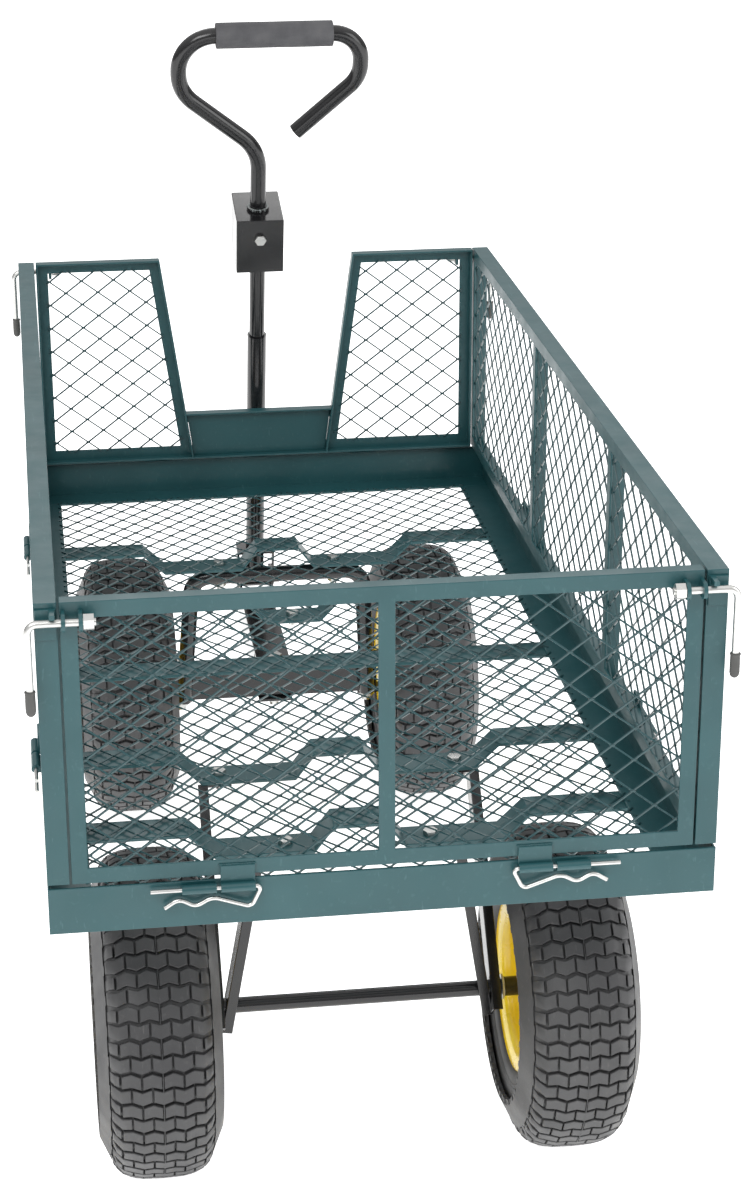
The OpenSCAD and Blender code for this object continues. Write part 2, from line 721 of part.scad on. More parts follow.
// One sloping bar of the notch, its outer edge along the notch
module sloped_bar(x_in, x_out, y0, y1) {
    translate([0, y1, 0]) rotate([90, 0, 0]) linear_extrude(y1 - y0)
        polygon([[notch_bottom + x_in, panel_z0], [notch_bottom + x_out, panel_z0],
            [notch_top + x_out, panel_z1], [notch_top + x_in, panel_z1]]);
}

module front_panel_frame() color(green) cart() at_front() {
    end_bars();
    mirrored() {
        box(notch_top, end_half, 0, end_t, panel_z1 - bar_t, panel_z1);
        box(notch_top, end_half, 0, bar_t, panel_z1 - bar_w, panel_z1);
        sloped_bar(0, bar_w, 0, bar_t);
        sloped_bar(0, bar_t, 0, end_t);
    }
    box(-notch_low, notch_low, 0, end_t, tray_top + notch_z - bar_t, tray_top + notch_z);
    box(-notch_low, notch_low, 0, bar_t, tray_top + notch_z - bar_w, tray_top + notch_z);
}

module front_panel_mesh() color(green) cart() at_front() mirrored() {
    translate([0, bar_t + mesh_t, 0]) rotate([90, 0, 0]) linear_extrude(mesh_t)
        polygon([[notch_x(panel_gap + bar_t) + bar_t + 0.2, panel_z0 + bar_t],
            [end_half - bar_t, panel_z0 + bar_t],
            [end_half - bar_t, panel_z1 - bar_t],
            [notch_x(panel_h - bar_t) + bar_t + 0.2, panel_z1 - bar_t]]);
}

module front_notch_plate() color(green) cart() at_front() {
    translate([0, bar_t + 2, 0]) rotate([90, 0, 0]) linear_extrude(2)
        polygon([[-notch_bottom, panel_z0 + bar_t], [notch_bottom, panel_z0 + bar_t],
            [notch_low - 1, tray_top + notch_z - bar_t], [1 - notch_low, tray_top + notch_z - bar_t]]);
}

/* Latches: drawn at the rear right corner */

module latch_rod() {
    z = tray_top + latch_z;
    translate([0, -latch_out, z]) rotate([90, 0, 0])
        bent_rod([[ring_x[0] - nut_l - 4, 0], [latch_handle_x, 0], [latch_handle_x, -latch_drop]],
            [latch_bend], latch_r - fit);
    translate([ring_x[0] - nut_l - 2.2, -latch_out, z]) rotate([0, 90, 0])
        cylinder(h = nut_l, r = 7.5, $fn = 6);
}

module latch_grip() {
    z = tray_top + latch_z - latch_drop;
    difference() {
        along_z(latch_handle_x, -latch_out, z - 2, z + 22, latch_grip_r);
        along_z(latch_handle_x, -latch_out, z, z + 30, latch_r - fit);
    }
}

module latch_rod_rear_right() color(zinc) cart() latch_rod();
module latch_grip_rear_right() color(foam) cart() latch_grip();
module latch_rod_rear_left() color(zinc) cart() mirror([1, 0, 0]) latch_rod();
module latch_grip_rear_left() color(foam) cart() mirror([1, 0, 0]) latch_grip();
module latch_rod_front_right() color(zinc) cart() at_front() latch_rod();
module latch_grip_front_right() color(foam) cart() at_front() latch_grip();
module latch_rod_front_left() color(zinc) cart() at_front() mirror([1, 0, 0]) latch_rod();
module latch_grip_front_left() color(foam) cart() at_front() mirror([1, 0, 0]) latch_grip();

tray_rail_left();
tray_rail_right();
tray_rail_rear();
tray_rail_front();
deck_mesh();
brace_rear();
brace_mid_rear();
brace_centre();
brace_mid_front();
brace_front();
tray_hinge_barrels();
brace_bolts();
rear_axle();
axle_struts();
axle_spacers();
front_hoop();
steering_beam();
steering_bolts();
front_panel_frame();
front_panel_mesh();
front_notch_plate();
front_hinge_clips();
gate_frame();
gate_mesh();
left_panel_frame();
left_panel_mesh();
right_panel_frame();
right_panel_mesh();
drawbar();
tongue_bolt();
knuckle_left();
knuckle_right();
tie_bar();
tongue_tube();
handle_rod();
foam_grip();
hitch_box();
hitch_bolt();
tyre_rear_left();
rim_rear_left();
tyre_rear_right();
rim_rear_right();
tyre_front_left();
rim_front_left();
tyre_front_right();
rim_front_right();
latch_rod_rear_left();
latch_rod_rear_right();
latch_rod_front_left();
latch_rod_front_right();
latch_grip_rear_left();
latch_grip_rear_right();
latch_grip_front_left();
latch_grip_front_right();
clip_rear_left();
clip_rear_right();
clip_left_rear();
clip_left_front();
clip_right_rear();
clip_right_front();
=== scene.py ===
"""The garden cart's looks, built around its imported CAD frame. Metres, +Z up, +Y towards the handle."""

import json
import math
import random

import bmesh
import bpy
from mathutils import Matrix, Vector

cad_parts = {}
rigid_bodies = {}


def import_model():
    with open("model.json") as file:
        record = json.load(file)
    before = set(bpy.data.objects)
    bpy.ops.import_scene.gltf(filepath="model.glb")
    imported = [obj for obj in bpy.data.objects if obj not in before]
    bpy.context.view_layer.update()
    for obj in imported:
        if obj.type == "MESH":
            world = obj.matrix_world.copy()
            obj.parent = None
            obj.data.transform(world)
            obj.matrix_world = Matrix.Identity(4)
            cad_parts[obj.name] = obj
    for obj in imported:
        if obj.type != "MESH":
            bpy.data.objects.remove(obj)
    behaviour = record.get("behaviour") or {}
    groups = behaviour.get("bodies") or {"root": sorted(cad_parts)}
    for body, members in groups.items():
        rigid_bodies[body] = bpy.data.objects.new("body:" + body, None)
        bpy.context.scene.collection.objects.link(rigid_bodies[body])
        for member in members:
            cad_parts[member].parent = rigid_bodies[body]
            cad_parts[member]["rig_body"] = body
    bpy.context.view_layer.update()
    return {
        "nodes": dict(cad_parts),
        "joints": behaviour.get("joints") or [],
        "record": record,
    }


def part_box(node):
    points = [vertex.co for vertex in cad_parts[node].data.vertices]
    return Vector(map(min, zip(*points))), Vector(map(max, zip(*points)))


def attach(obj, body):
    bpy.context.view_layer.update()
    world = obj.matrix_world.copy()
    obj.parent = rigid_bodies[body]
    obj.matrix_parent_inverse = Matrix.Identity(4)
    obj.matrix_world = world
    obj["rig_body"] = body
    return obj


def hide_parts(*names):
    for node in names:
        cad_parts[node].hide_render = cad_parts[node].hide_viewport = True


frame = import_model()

NODES = frame["nodes"]
AXIS_X = Vector((1, 0, 0))
AXIS_Y = Vector((0, 1, 0))
AXIS_Z = Vector((0, 0, 1))
MM = 0.001
SIDES = (("left", -1), ("right", 1))
ENDS = ("rear", "front")


# ---- Node trees ----


def new_material(name):
    material = bpy.data.materials.new(name)
    material.use_nodes = True
    tree = material.node_tree
    return material, tree, tree.nodes["Principled BSDF"]


def noise(tree, size, detail=3.0, stretch=(1, 1, 1)):
    """Noise from 0 to 1, its features about size metres across and longer along axes with low stretch."""
    place = tree.nodes.new("ShaderNodeTexCoord")
    mapping = tree.nodes.new("ShaderNodeMapping")
    mapping.inputs["Scale"].default_value = stretch
    pattern = tree.nodes.new("ShaderNodeTexNoise")
    pattern.inputs["Scale"].default_value = 1 / size
    pattern.inputs["Detail"].default_value = detail
    tree.links.new(place.outputs["Object"], mapping.inputs["Vector"])
    tree.links.new(mapping.outputs["Vector"], pattern.inputs["Vector"])
    return pattern.outputs["Fac"]


def cells(tree, size):
    """Distance from the middle of each cell of a random foam, cells being about size metres across."""
    place = tree.nodes.new("ShaderNodeTexCoord")
    pattern = tree.nodes.new("ShaderNodeTexVoronoi")
    pattern.inputs["Scale"].default_value = 1 / size
    tree.links.new(place.outputs["Object"], pattern.inputs["Vector"])
    return pattern.outputs["Distance"]


def remap(tree, value, low, high, to_low, to_high):
    node = tree.nodes.new("ShaderNodeMapRange")
    node.inputs["From Min"].default_value = low
    node.inputs["From Max"].default_value = high
    node.inputs["To Min"].default_value = to_low
    node.inputs["To Max"].default_value = to_high
    tree.links.new(value, node.inputs["Value"])
    return node.outputs["Result"]


def blend_colours(tree, share, first, second):
    """A mix of two colours; first may be a socket or a plain colour."""
    node = tree.nodes.new("ShaderNodeMix")
    node.data_type = "RGBA"
    colour_a, colour_b = node.inputs[6], node.inputs[7]
    tree.links.new(share, node.inputs[0])
    if isinstance(first, tuple):
        colour_a.default_value = (*first, 1)
    else:
        tree.links.new(first, colour_a)
    colour_b.default_value = (*second, 1)
    return node.outputs[2]


def add_bump(tree, height, depth, below=None):
    node = tree.nodes.new("ShaderNodeBump")
    node.inputs["Distance"].default_value = depth
    tree.links.new(height, node.inputs["Height"])
    if below is not None:
        tree.links.new(below, node.inputs["Normal"])
    return node.outputs["Normal"]


def finish_look(name, tints, worn, rough, grain, depth, wear=0.35, metallic=0.0, coat=0.0):
    """A surface with clouded colour, scratches in the worn colour, uneven gloss and a grainy bump.

    tints are the darker and the lighter colour, rough the lowest and highest roughness, grain the size of
    the bump's grain and depth its height, both in metres.
    """
    material, tree, shader = new_material(name)
    cloud = remap(tree, noise(tree, 0.11, 5), 0.32, 0.68, 0, 1)
    colour = blend_colours(tree, cloud, tints[0], tints[1])
    speckle = remap(tree, noise(tree, 0.006, 4), 0.6, 0.75, 0, wear * 0.6)
    colour = blend_colours(tree, speckle, colour, worn)
    scratch = remap(tree, noise(tree, 0.0035, 2, (1, 0.06, 0.25)), 0.68, 0.76, 0, wear)
    colour = blend_colours(tree, scratch, colour, worn)
    gloss = remap(tree, noise(tree, 0.035, 4), 0.3, 0.7, rough[0], rough[1])
    waves = add_bump(tree, noise(tree, 0.03, 2), depth * 3)
    normal = add_bump(tree, noise(tree, grain, 2), depth, waves)
    tree.links.new(colour, shader.inputs["Base Color"])
    tree.links.new(gloss, shader.inputs["Roughness"])
    tree.links.new(normal, shader.inputs["Normal"])
    shader.inputs["Metallic"].default_value = metallic
    shader.inputs["Coat Weight"].default_value = coat
    shader.inputs["Coat Roughness"].default_value = 0.12
    return material


def foam_look():
    """Dark closed-cell foam with fine pits."""
    material, tree, shader = new_material("foam")
    cloud = remap(tree, noise(tree, 0.02, 5), 0.3, 0.7, 0, 1)
    colour = blend_colours(tree, cloud, (0.066, 0.066, 0.072), (0.096, 0.096, 0.101))
    pits = remap(tree, cells(tree, 0.0011), 0.0, 0.6, 0, 1)
    normal = add_bump(tree, pits, 0.00022)
    tree.links.new(colour, shader.inputs["Base Color"])
    tree.links.new(remap(tree, pits, 0, 1, 0.95, 0.8), shader.inputs["Roughness"])
    tree.links.new(normal, shader.inputs["Normal"])
    return material


GREEN = finish_look(
    "green_powder_coat", ((0.008, 0.058, 0.066), (0.013, 0.074, 0.083)), (0.06, 0.15, 0.16),
    (0.34, 0.48), 0.0016, 0.00005, coat=0.08,
)
STRANDS = finish_look(
    "green_dipped_mesh", ((0.008, 0.042, 0.048), (0.013, 0.058, 0.065)), (0.05, 0.11, 0.12),
    (0.32, 0.46), 0.0016, 0.00004, coat=0.2,
)
BLACK = finish_look(
    "black_gloss_paint", ((0.006, 0.006, 0.007), (0.011, 0.011, 0.012)), (0.05, 0.05, 0.05),
    (0.13, 0.24), 0.0012, 0.00003, wear=0.25, coat=0.15,
)
ZINC = finish_look(
    "zinc_plate", ((0.50, 0.50, 0.49), (0.66, 0.66, 0.64)), (0.42, 0.40, 0.34),
    (0.24, 0.4), 0.0009, 0.00003, wear=0.4, metallic=1.0,
)
WELD = finish_look(
    "weld_metal", ((0.14, 0.16, 0.16), (0.34, 0.36, 0.36)), (0.5, 0.5, 0.5),
    (0.3, 0.5), 0.0008, 0.0001, wear=0.6, metallic=0.6,
)
YELLOW = finish_look(
    "yellow_gloss_paint", ((0.90, 0.64, 0.012), (1.0, 0.76, 0.03)), (0.70, 0.48, 0.05),
    (0.22, 0.36), 0.0020, 0.00004, wear=0.25, coat=0.35,
)
TYRE = finish_look(
    "tyre_rubber", ((0.036, 0.036, 0.038), (0.055, 0.055, 0.056)), (0.10, 0.098, 0.095),
    (0.42, 0.62), 0.0012, 0.00014, wear=0.5,
)
RUBBER = finish_look(
    "grip_rubber", ((0.060, 0.060, 0.058), (0.085, 0.085, 0.08)), (0.13, 0.13, 0.12),
    (0.6, 0.8), 0.0010, 0.00008,
)
FOAM = foam_look()


# ---- Meshes ----


def smooth_by_angle(mesh, degrees):
    """Outward normals everywhere, and smooth shading across edges flatter than degrees."""
    shape = bmesh.new()
    shape.from_mesh(mesh)
    bmesh.ops.recalc_face_normals(shape, faces=shape.faces[:])
    limit = math.radians(degrees)
    for edge in shape.edges:
        edge.smooth = edge.is_manifold and edge.calc_face_angle() < limit
    for face in shape.faces:
        face.smooth = True
    shape.to_mesh(mesh)
    shape.free()


def add_piece(name, body, material, mesh, stands_for=(), smooth=40):
    """A piece of the object from a mesh, or from a pair of lists with its corners and faces."""
    if isinstance(mesh, tuple):
        corners, faces = mesh
        mesh = bpy.data.meshes.new(name)
        mesh.from_pydata([tuple(corner) for corner in corners], [], faces)
    smooth_by_angle(mesh, smooth)
    mesh.materials.clear()
    mesh.materials.append(material)
    piece = bpy.data.objects.new(name, mesh)
    bpy.context.scene.collection.objects.link(piece)
    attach(piece, body)
    if stands_for:
        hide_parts(*stands_for)
    return piece


def body_of(node):
    return NODES[node]["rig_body"]


def joined(parts):
    """Several pairs of corners and faces as one pair."""
    corners, faces = [], []
    for part_corners, part_faces in parts:
        start = len(corners)
        corners.extend(part_corners)
        faces.extend([[start + i for i in face] for face in part_faces])
    return corners, faces


def lathe(profile, centre, axis, segments, closed=True):
    """Points (along, radius) turned about an axis: a ring if closed, else a solid from pole to pole."""
    across = axis.orthogonal().normalized()
    beside = axis.cross(across)
    corners, rings = [], []
    for along, radius in profile:
        middle = centre + axis * along
        start = len(corners)
        if radius == 0:
            corners.append(middle)
            rings.append([start] * segments)
            continue
        rings.append([start + k for k in range(segments)])
        for k in range(segments):
            angle = 2 * math.pi * k / segments
            corners.append(middle + (across * math.cos(angle) + beside * math.sin(angle)) * radius)
    faces = []
    followers = rings[1:] + rings[:1] if closed else rings[1:]
    for one, two in zip(rings, followers):
        for k in range(segments):
            n = (k + 1) % segments
            face = list(dict.fromkeys([one[k], one[n], two[n], two[k]]))
            if len(face) > 2:
                faces.append(face)
    return corners, faces


def loft(rings):
    """A closed solid through rings of equal length, capped at both ends."""
    count = len(rings[0])
    corners = [corner for ring in rings for corner in ring]
    faces = [list(range(count)), [len(corners) - count + k for k in range(count)]]
    for r in range(len(rings) - 1):
        for k in range(count):
            n = (k + 1) % count
            faces.append([r * count + k, r * count + n, (r + 1) * count + n, (r + 1) * count + k])
    return corners, faces


FLAT_ANGLE = math.radians(0.5)
MERGE = 0.005 * MM
SHARP_ANGLE = 0.6
SMOOTH_DEGREES = 50


def softened(node, material, width, shortest=6 * MM):
    """A copy of a CAD node with its long sharp edges rounded, as folded, pressed and painted steel has."""
    shape = bmesh.new()
    shape.from_mesh(NODES[node].data)
    bmesh.ops.remove_doubles(shape, verts=shape.verts[:], dist=MERGE)
    bmesh.ops.dissolve_limit(
        shape, angle_limit=FLAT_ANGLE, verts=shape.verts[:], edges=shape.edges[:]
    )
    sharp = [
        edge
        for edge in shape.edges
        if edge.is_manifold
        and edge.is_convex
        and edge.calc_face_angle() > SHARP_ANGLE
        and edge.calc_length() > shortest
    ]
    bmesh.ops.bevel(
        shape, geom=sharp, offset=width, offset_type="OFFSET", segments=2, profile=0.5,
        affect="EDGES", clamp_overlap=False,
    )
    mesh = bpy.data.meshes.new(node + "_look")
    shape.to_mesh(mesh)
    shape.free()
    look = node + "_look"
    piece = add_piece(look, body_of(node), material, mesh, (node,), smooth=SMOOTH_DEGREES)
    hold_flat(mesh, SMOOTH_DEGREES)
    return piece


def hold_flat(mesh, degrees):
    """Normals weighted by face area, so that broad faces stay flat beside rounded edges."""
    limit = math.cos(math.radians(degrees))
    around = [[] for _ in mesh.vertices]
    for face in mesh.polygons:
        for corner in face.vertices:
            around[corner].append(face)
    normals = []
    for face in mesh.polygons:
        for corner in face.vertices:
            total = Vector()
            for other in around[corner]:
                if other.normal.dot(face.normal) > limit:
                    total += other.normal * other.area
            normals.append(total.normalized())
    mesh.normals_split_custom_set(normals)


def weld_lump(middle, along, size):
    """One rounded lump of weld metal."""
    flank = size * 0.7
    profile = [(-size, 0), (-flank, flank), (0, size), (flank, flank), (size, 0)]
    return lathe(profile, middle, along, 8, closed=False)


def weld_bead(name, body, start, end, radius, seed, material=WELD):
    """A row of overlapping uneven lumps, as a hand weld leaves."""
    chance = random.Random(seed)
    run = end - start
    along = run.normalized()
    count = max(2, round(run.length / (radius * 0.9)))
    lumps = []
    for i in range(count + 1):
        size = radius * chance.uniform(0.8, 1.15)
        lumps.append(weld_lump(start + run * (i / count), along, size))
    return add_piece(name, body, material, joined(lumps), smooth=80)


# ---- Expanded metal ----

STRAND_W = 1.6 * MM
STRAND_T = 1.4 * MM
STRAND_TILT = math.radians(20)
BOND_L = 2.8 * MM
BOND_W = 1.0 * MM


def clip_to(outline, point, direction):
    """The stretch of a line inside a convex outline that runs anticlockwise, or None."""
    low, high = -1e9, 1e9
    for a, b in zip(outline, outline[1:] + outline[:1]):
        inward = Vector((a.y - b.y, b.x - a.x))
        gap = (point - a).dot(inward)
        rate = direction.dot(inward)
        if abs(rate) < 1e-12:
            continue
        if rate > 0:
            low = max(low, -gap / rate)
        else:
            high = min(high, -gap / rate)
    return (low, high) if high - low > STRAND_W else None


def inside(outline, point):
    for a, b in zip(outline, outline[1:] + outline[:1]):
        if (point - a).dot(Vector((a.y - b.y, b.x - a.x))) < 0:
            return False
    return True


def strand(place, start, end, tilt):
    """A flat strip between two points of the sheet, turned a little about its own length."""
    along = (end - start).normalized()
    beside = Vector((-along.y, along.x))
    wide = place(beside, False) * math.cos(tilt) + place(None, False) * math.sin(tilt)
    thick = place(None, False) * math.cos(tilt) - place(beside, False) * math.sin(tilt)
    rings = []
    for spot in (start, end):
        middle = place(spot, True)
        half_w, half_t = wide * (STRAND_W / 2), thick * (STRAND_T / 2)
        rings.append([middle + half_w + half_t, middle - half_w + half_t,
                      middle - half_w - half_t, middle + half_w - half_t])
    return loft(rings)


def bond(place, spot):
    """The thicker knot where two strands stay joined."""
    outline = [(-BOND_L, 0), (-BOND_L / 3, BOND_W), (BOND_L / 3, BOND_W),
               (BOND_L, 0), (BOND_L / 3, -BOND_W), (-BOND_L / 3, -BOND_W)]
    rise = place(None, False) * (STRAND_T * 0.8)
    ring = [place(spot + Vector(offset), True) for offset in outline]
    return loft([[corner - rise for corner in ring], [corner + rise for corner in ring]])


def expanded_sheet(node, outlines, across, up, cell):
    """Diamond mesh in place of a CAD sheet, its outlines in metres from the sheet's middle."""
    low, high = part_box(node)
    middle = (low + high) / 2
    out = across.cross(up)

    def place(spot, absolute):
        if spot is None:
            return out.copy()
        moved = across * spot.x + up * spot.y
        return middle + moved if absolute else moved

    parts = []
    for outline in outlines:
        reach = max(abs(corner.x) + abs(corner.y) for corner in outline)
        steps = int(reach / min(cell)) + 2
        for slant in (-1, 1):
            direction = Vector((cell[0], slant * cell[1])).normalized()
            for k in range(-2 * steps, 2 * steps + 1):
                point = Vector((k * cell[0], 0))
                span = clip_to(outline, point, direction)
                if span is None:
                    continue
                start, end = point + direction * span[0], point + direction * span[1]
                parts.append(strand(place, start, end, slant * STRAND_TILT))
        for i in range(-2 * steps, 2 * steps + 1):
            for j in range(-2 * steps, 2 * steps + 1):
                spot = Vector((i * cell[0] / 2, j * cell[1] / 2))
                if (i + j) % 2 == 0 and inside(outline, spot):
                    parts.append(bond(place, spot))
    return add_piece(node + "_expanded", body_of(node), STRANDS, joined(parts), (node,), smooth=10)


def rectangle(low_x, high_x, low_y, high_y):
    corners = [(low_x, low_y), (high_x, low_y), (high_x, high_y), (low_x, high_y)]
    return [Vector(corner) for corner in corners]


PANEL_CELL = (41 * MM, 31 * MM)
DECK_CELL = (29 * MM, 34 * MM)


FRAME_LEG = 10 * MM
FLANGE_LAP = 4 * MM


def sheet_half(node, axis, trim=FRAME_LEG):
    """Half the size of a sheet, less the part that only lies against its frame."""
    low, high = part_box(node)
    return (high - low)[axis] / 2 - trim


def build_meshes():
    """Expanded metal for the deck, the gate, the side panels and the two halves of the front panel."""
    half_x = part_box("tray_rail_right")[0].x + FLANGE_LAP
    half_y = (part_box("tray_rail_front")[0].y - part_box("tray_rail_rear")[1].y) / 2 + FLANGE_LAP
    expanded_sheet(
        "deck_mesh", [rectangle(-half_x, half_x, -half_y, half_y)], AXIS_X, AXIS_Y, DECK_CELL
    )
    half_x, half_z = sheet_half("gate_mesh", 0), sheet_half("gate_mesh", 2)
    expanded_sheet(
        "gate_mesh", [rectangle(-half_x, half_x, -half_z, half_z)], AXIS_X, AXIS_Z, PANEL_CELL
    )
    for side, _ in SIDES:
        node = side + "_panel_mesh"
        half_y, half_z = sheet_half(node, 1), sheet_half(node, 2)
        expanded_sheet(node, [rectangle(-half_y, half_y, -half_z, half_z)], AXIS_Y, AXIS_Z, PANEL_CELL)
    node = "front_panel_mesh"
    half_x, half_z = sheet_half(node, 0), sheet_half(node, 2)
    corners = [vertex.co for vertex in NODES[node].data.vertices]
    low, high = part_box(node)
    inner_low = min(abs(c.x) for c in corners if c.z < low.z + 0.001) + FRAME_LEG
    inner_high = min(abs(c.x) for c in corners if c.z > high.z - 0.001) + FRAME_LEG
    right = [Vector((inner_low, -half_z)), Vector((half_x, -half_z)),
             Vector((half_x, half_z)), Vector((inner_high, half_z))]
    left = [Vector((-corner.x, corner.y)) for corner in reversed(right)]
    expanded_sheet(node, [right, left], AXIS_X, AXIS_Z, PANEL_CELL)


# ---- Wheels ----

TREAD_DEPTH = 5 * MM
TREAD_PAIRS = 31
SHAPE_POWER = 0.62
TOP_EDGE = 0.6 * MM
SKIN = 0.3 * MM
ROOT = 1.5 * MM
END_TRIM = 0.1 * MM
MOULD_STUBS = 22


class TyreShape:
    """The outline of a tyre whose CAD node gives its width and its outside radius."""

    def __init__(self, node):
        low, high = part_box(node)
        self.centre = (low + high) / 2
        self.half = (high.x - low.x) / 2
        self.outer = (high.z - low.z) / 2
        self.bead = 76 * MM
        self.middle = (self.outer + self.bead) / 2
        self.rise = (self.outer - self.bead) / 2

    def radius_at(self, across):
        """Outside radius at a distance from the tyre's middle plane."""
        cosine = min(1, abs(across) / self.half) ** (1 / SHAPE_POWER)
        sine = math.sqrt(1 - cosine * cosine)
        return self.middle + self.rise * sine**SHAPE_POWER

    def width_at(self, radius):
        """Half the width of the sidewall at a radius."""
        sine = min(1, abs(radius - self.middle) / self.rise) ** (1 / SHAPE_POWER)
        return self.half * math.sqrt(1 - sine * sine) ** SHAPE_POWER


def carcass_profile(shape):
    """One side of the tyre from the bead to the crown, its sidewall ringed with fine ridges."""
    side = [(40 * MM, 76.6 * MM), (42.6 * MM, 80 * MM), (43.3 * MM, 88.5 * MM)]
    radii = [91.5, 95, 98, 99.2, 100, 100.8, 102.5, 103.3, 104.1, 108, 114, 120, 127, 132, 134.2, 135,
             135.8, 138, 138.8, 139.6, 142]
    ridges = (100, 103.3, 135, 138.8)
    raised, lowered = 0.55 * MM, -0.15 * MM
    for radius in radii:
        lift = raised if radius in ridges else lowered
        side.append((shape.width_at(radius * MM) + lift, radius * MM))
    tread_edge, fade = 61.5, 6
    for across in (60.8, 59.5, 57.5, 55, 52, 49.5, 46, 43, 39, 33, 26, 18, 9):
        sink = TREAD_DEPTH * min(1, (tread_edge - across) / fade)
        side.append((across * MM, shape.radius_at(across * MM) - sink))
    return side


def tread_block(shape, turn, columns):
    """A rubber block over columns (across, low, high), given in metres along and around the tread."""
    first, last = columns[0], columns[-1]
    inset = TOP_EDGE
    full = [(first[0] + inset, first[1], first[2], True)]
    full += [(*column, True) for column in columns[1:-1]]
    full += [(last[0] - inset, last[1], last[2], True)]
    stations = [(*first, False), *full, (*last, False)]

    def spot(across, around, radius):
        angle = turn + around / shape.outer
        return shape.centre + Vector((across, radius * math.cos(angle), radius * math.sin(angle)))

    rings = []
    for across, low, high, raised in stations:
        top = shape.radius_at(across) - SKIN
        edge = top - TOP_EDGE
        crest = top if raised else edge
        base = shape.radius_at(across) - TREAD_DEPTH - ROOT
        trim = TOP_EDGE if raised else END_TRIM
        rings.append([
            spot(across, low, base), spot(across, low, edge), spot(across, low + trim, crest),
            spot(across, high - trim, crest), spot(across, high, edge), spot(across, high, base),
        ])
    return loft(rings)


SHIELD = ((-9.1, -5.0, 7.8), (0, -8.3, 5.0), (9.1, -5.0, 7.8))
ARROW = ((-9.1, -8.1, 5.0), (0, -5.4, 8.3), (9.1, -8.1, 5.0))
EDGE = ((-4.8, -5.0, 6.8), (0, -5.4, 6.2), (6.0, -4.8, 5.8), (13.6, -3.8, 4.8))
LUG = ((-5.6, -5.4, 5.2), (0, -5.0, 5.0), (4.4, -4.0, 4.2))
ROWS = (
    [(-30, SHIELD), (-10, SHIELD), (10, SHIELD), (30, SHIELD), (46, EDGE), (-46, EDGE)],
    [(-40, ARROW), (-20, ARROW), (0, ARROW), (20, ARROW), (40, ARROW), (55.8, LUG), (-55.8, LUG)],
)


STUB_RADII = (112, 122, 130, 142)


def tyre_parts(shape, seed):
    """The carcass, the seam around its middle, the tread blocks and the moulding stubs on its sides."""
    side = carcass_profile(shape)
    crown = [(0, shape.radius_at(0) - TREAD_DEPTH)]
    profile = side + crown + [(-across, radius) for across, radius in reversed(side)]
    parts = [lathe(profile, shape.centre, AXIS_X, 4 * TREAD_PAIRS)]
    seam_half, seam_foot, seam_crest = 0.35 * MM, 157 * MM, 164.75 * MM
    seam = [(-seam_half, seam_foot), (-seam_half, seam_crest),
            (seam_half, seam_crest), (seam_half, seam_foot)]
    parts.append(lathe(seam, shape.centre, AXIS_X, 4 * TREAD_PAIRS))
    pitch = 2 * math.pi / (2 * TREAD_PAIRS)
    for row in range(2 * TREAD_PAIRS):
        for offset, columns in ROWS[row % 2]:
            mirrored = -1 if offset < 0 and columns in (EDGE, LUG) else 1
            placed = sorted(
                ((offset + mirrored * across) * MM, low * MM, high * MM)
                for across, low, high in columns
            )
            parts.append(tread_block(shape, row * pitch, placed))
    chance = random.Random(seed)
    for _ in range(MOULD_STUBS):
        turn = chance.uniform(0, 2 * math.pi)
        radius = chance.choice(STUB_RADII) * MM
        length = chance.uniform(0.5, 2.0) * MM
        side_sign = chance.choice((-1, 1))
        across = side_sign * (shape.width_at(radius) - 0.5 * MM)
        foot = shape.centre + Vector((across, radius * math.cos(turn), radius * math.sin(turn)))
        stub = [(0, 0), (0, 0.45 * MM), (length, 0.35 * MM), (length, 0)]
        parts.append(lathe(stub, foot, AXIS_X * side_sign, 6, closed=False))
    return joined(parts)


RIM_SIDE = (
    (28.0, 8.15), (28.0, 16.6), (27.2, 17.5), (7.0, 17.9), (4.2, 19.0), (2.6, 22.0), (1.6, 27.0),
    (1.5, 40.0), (1.7, 52.0), (2.8, 58.5), (5.6, 64.0), (10.0, 68.0), (16.0, 70.4), (24.0, 71.6),
    (33.0, 72.4), (38.5, 73.2), (41.6, 75.0), (43.6, 78.4), (44.6, 82.5), (45.2, 85.4), (46.0, 86.6),
)
RIM_LIP = ((46.95, 86.4), (46.2, 87.0))
RIM_BACK = ((44.4, 87.0), (43.8, 84.0), (43.5, 79.0), (42.5, 76.1), (38.0, 75.9))


def rim_mesh(centre):
    """A deep dished rim with its hub; both sides are alike."""
    half = [(along * MM, radius * MM) for along, radius in RIM_SIDE + RIM_LIP + RIM_BACK]
    profile = half + [(-along, radius) for along, radius in reversed(half)]
    return lathe(profile, centre, AXIS_X, 128)


def bearing_mesh(centre, side_sign, hub_end):
    """The pressed flange of the ball bearing in a hub's end, with its dark groove."""
    steps = ((-0.6, 9.6), (0.9, 9.6), (1.2, 10.2), (1.2, 11.6), (0.1, 12.0), (0.1, 13.4), (1.1, 13.8),
             (1.4, 14.6), (1.2, 17.4), (0.5, 18.1), (-0.6, 18.1))
    profile = [(hub_end + along * MM, radius * MM) for along, radius in steps]
    return lathe(profile, centre, AXIS_X * side_sign, 64)


def build_wheels():
    """Tyre, rim and bearings of each wheel, in place of the CAD tyre and rim."""
    seed = 40
    for end in ENDS:
        for side, _ in SIDES:
            wheel = end + "_" + side
            tyre, rim = "tyre_" + wheel, "rim_" + wheel
            shape = TyreShape(tyre)
            body = body_of(tyre)
            add_piece(tyre + "_look", body, TYRE, tyre_parts(shape, seed), (tyre,), smooth=38)
            seed += 1
            add_piece(rim + "_look", body, YELLOW, rim_mesh(shape.centre), (rim,), smooth=45)
            bearings = [bearing_mesh(shape.centre, sign, RIM_SIDE[0][0] * MM) for sign in (-1, 1)]
            add_piece("bearing_" + wheel, body, ZINC, joined(bearings), smooth=35)


# ---- Small parts ----


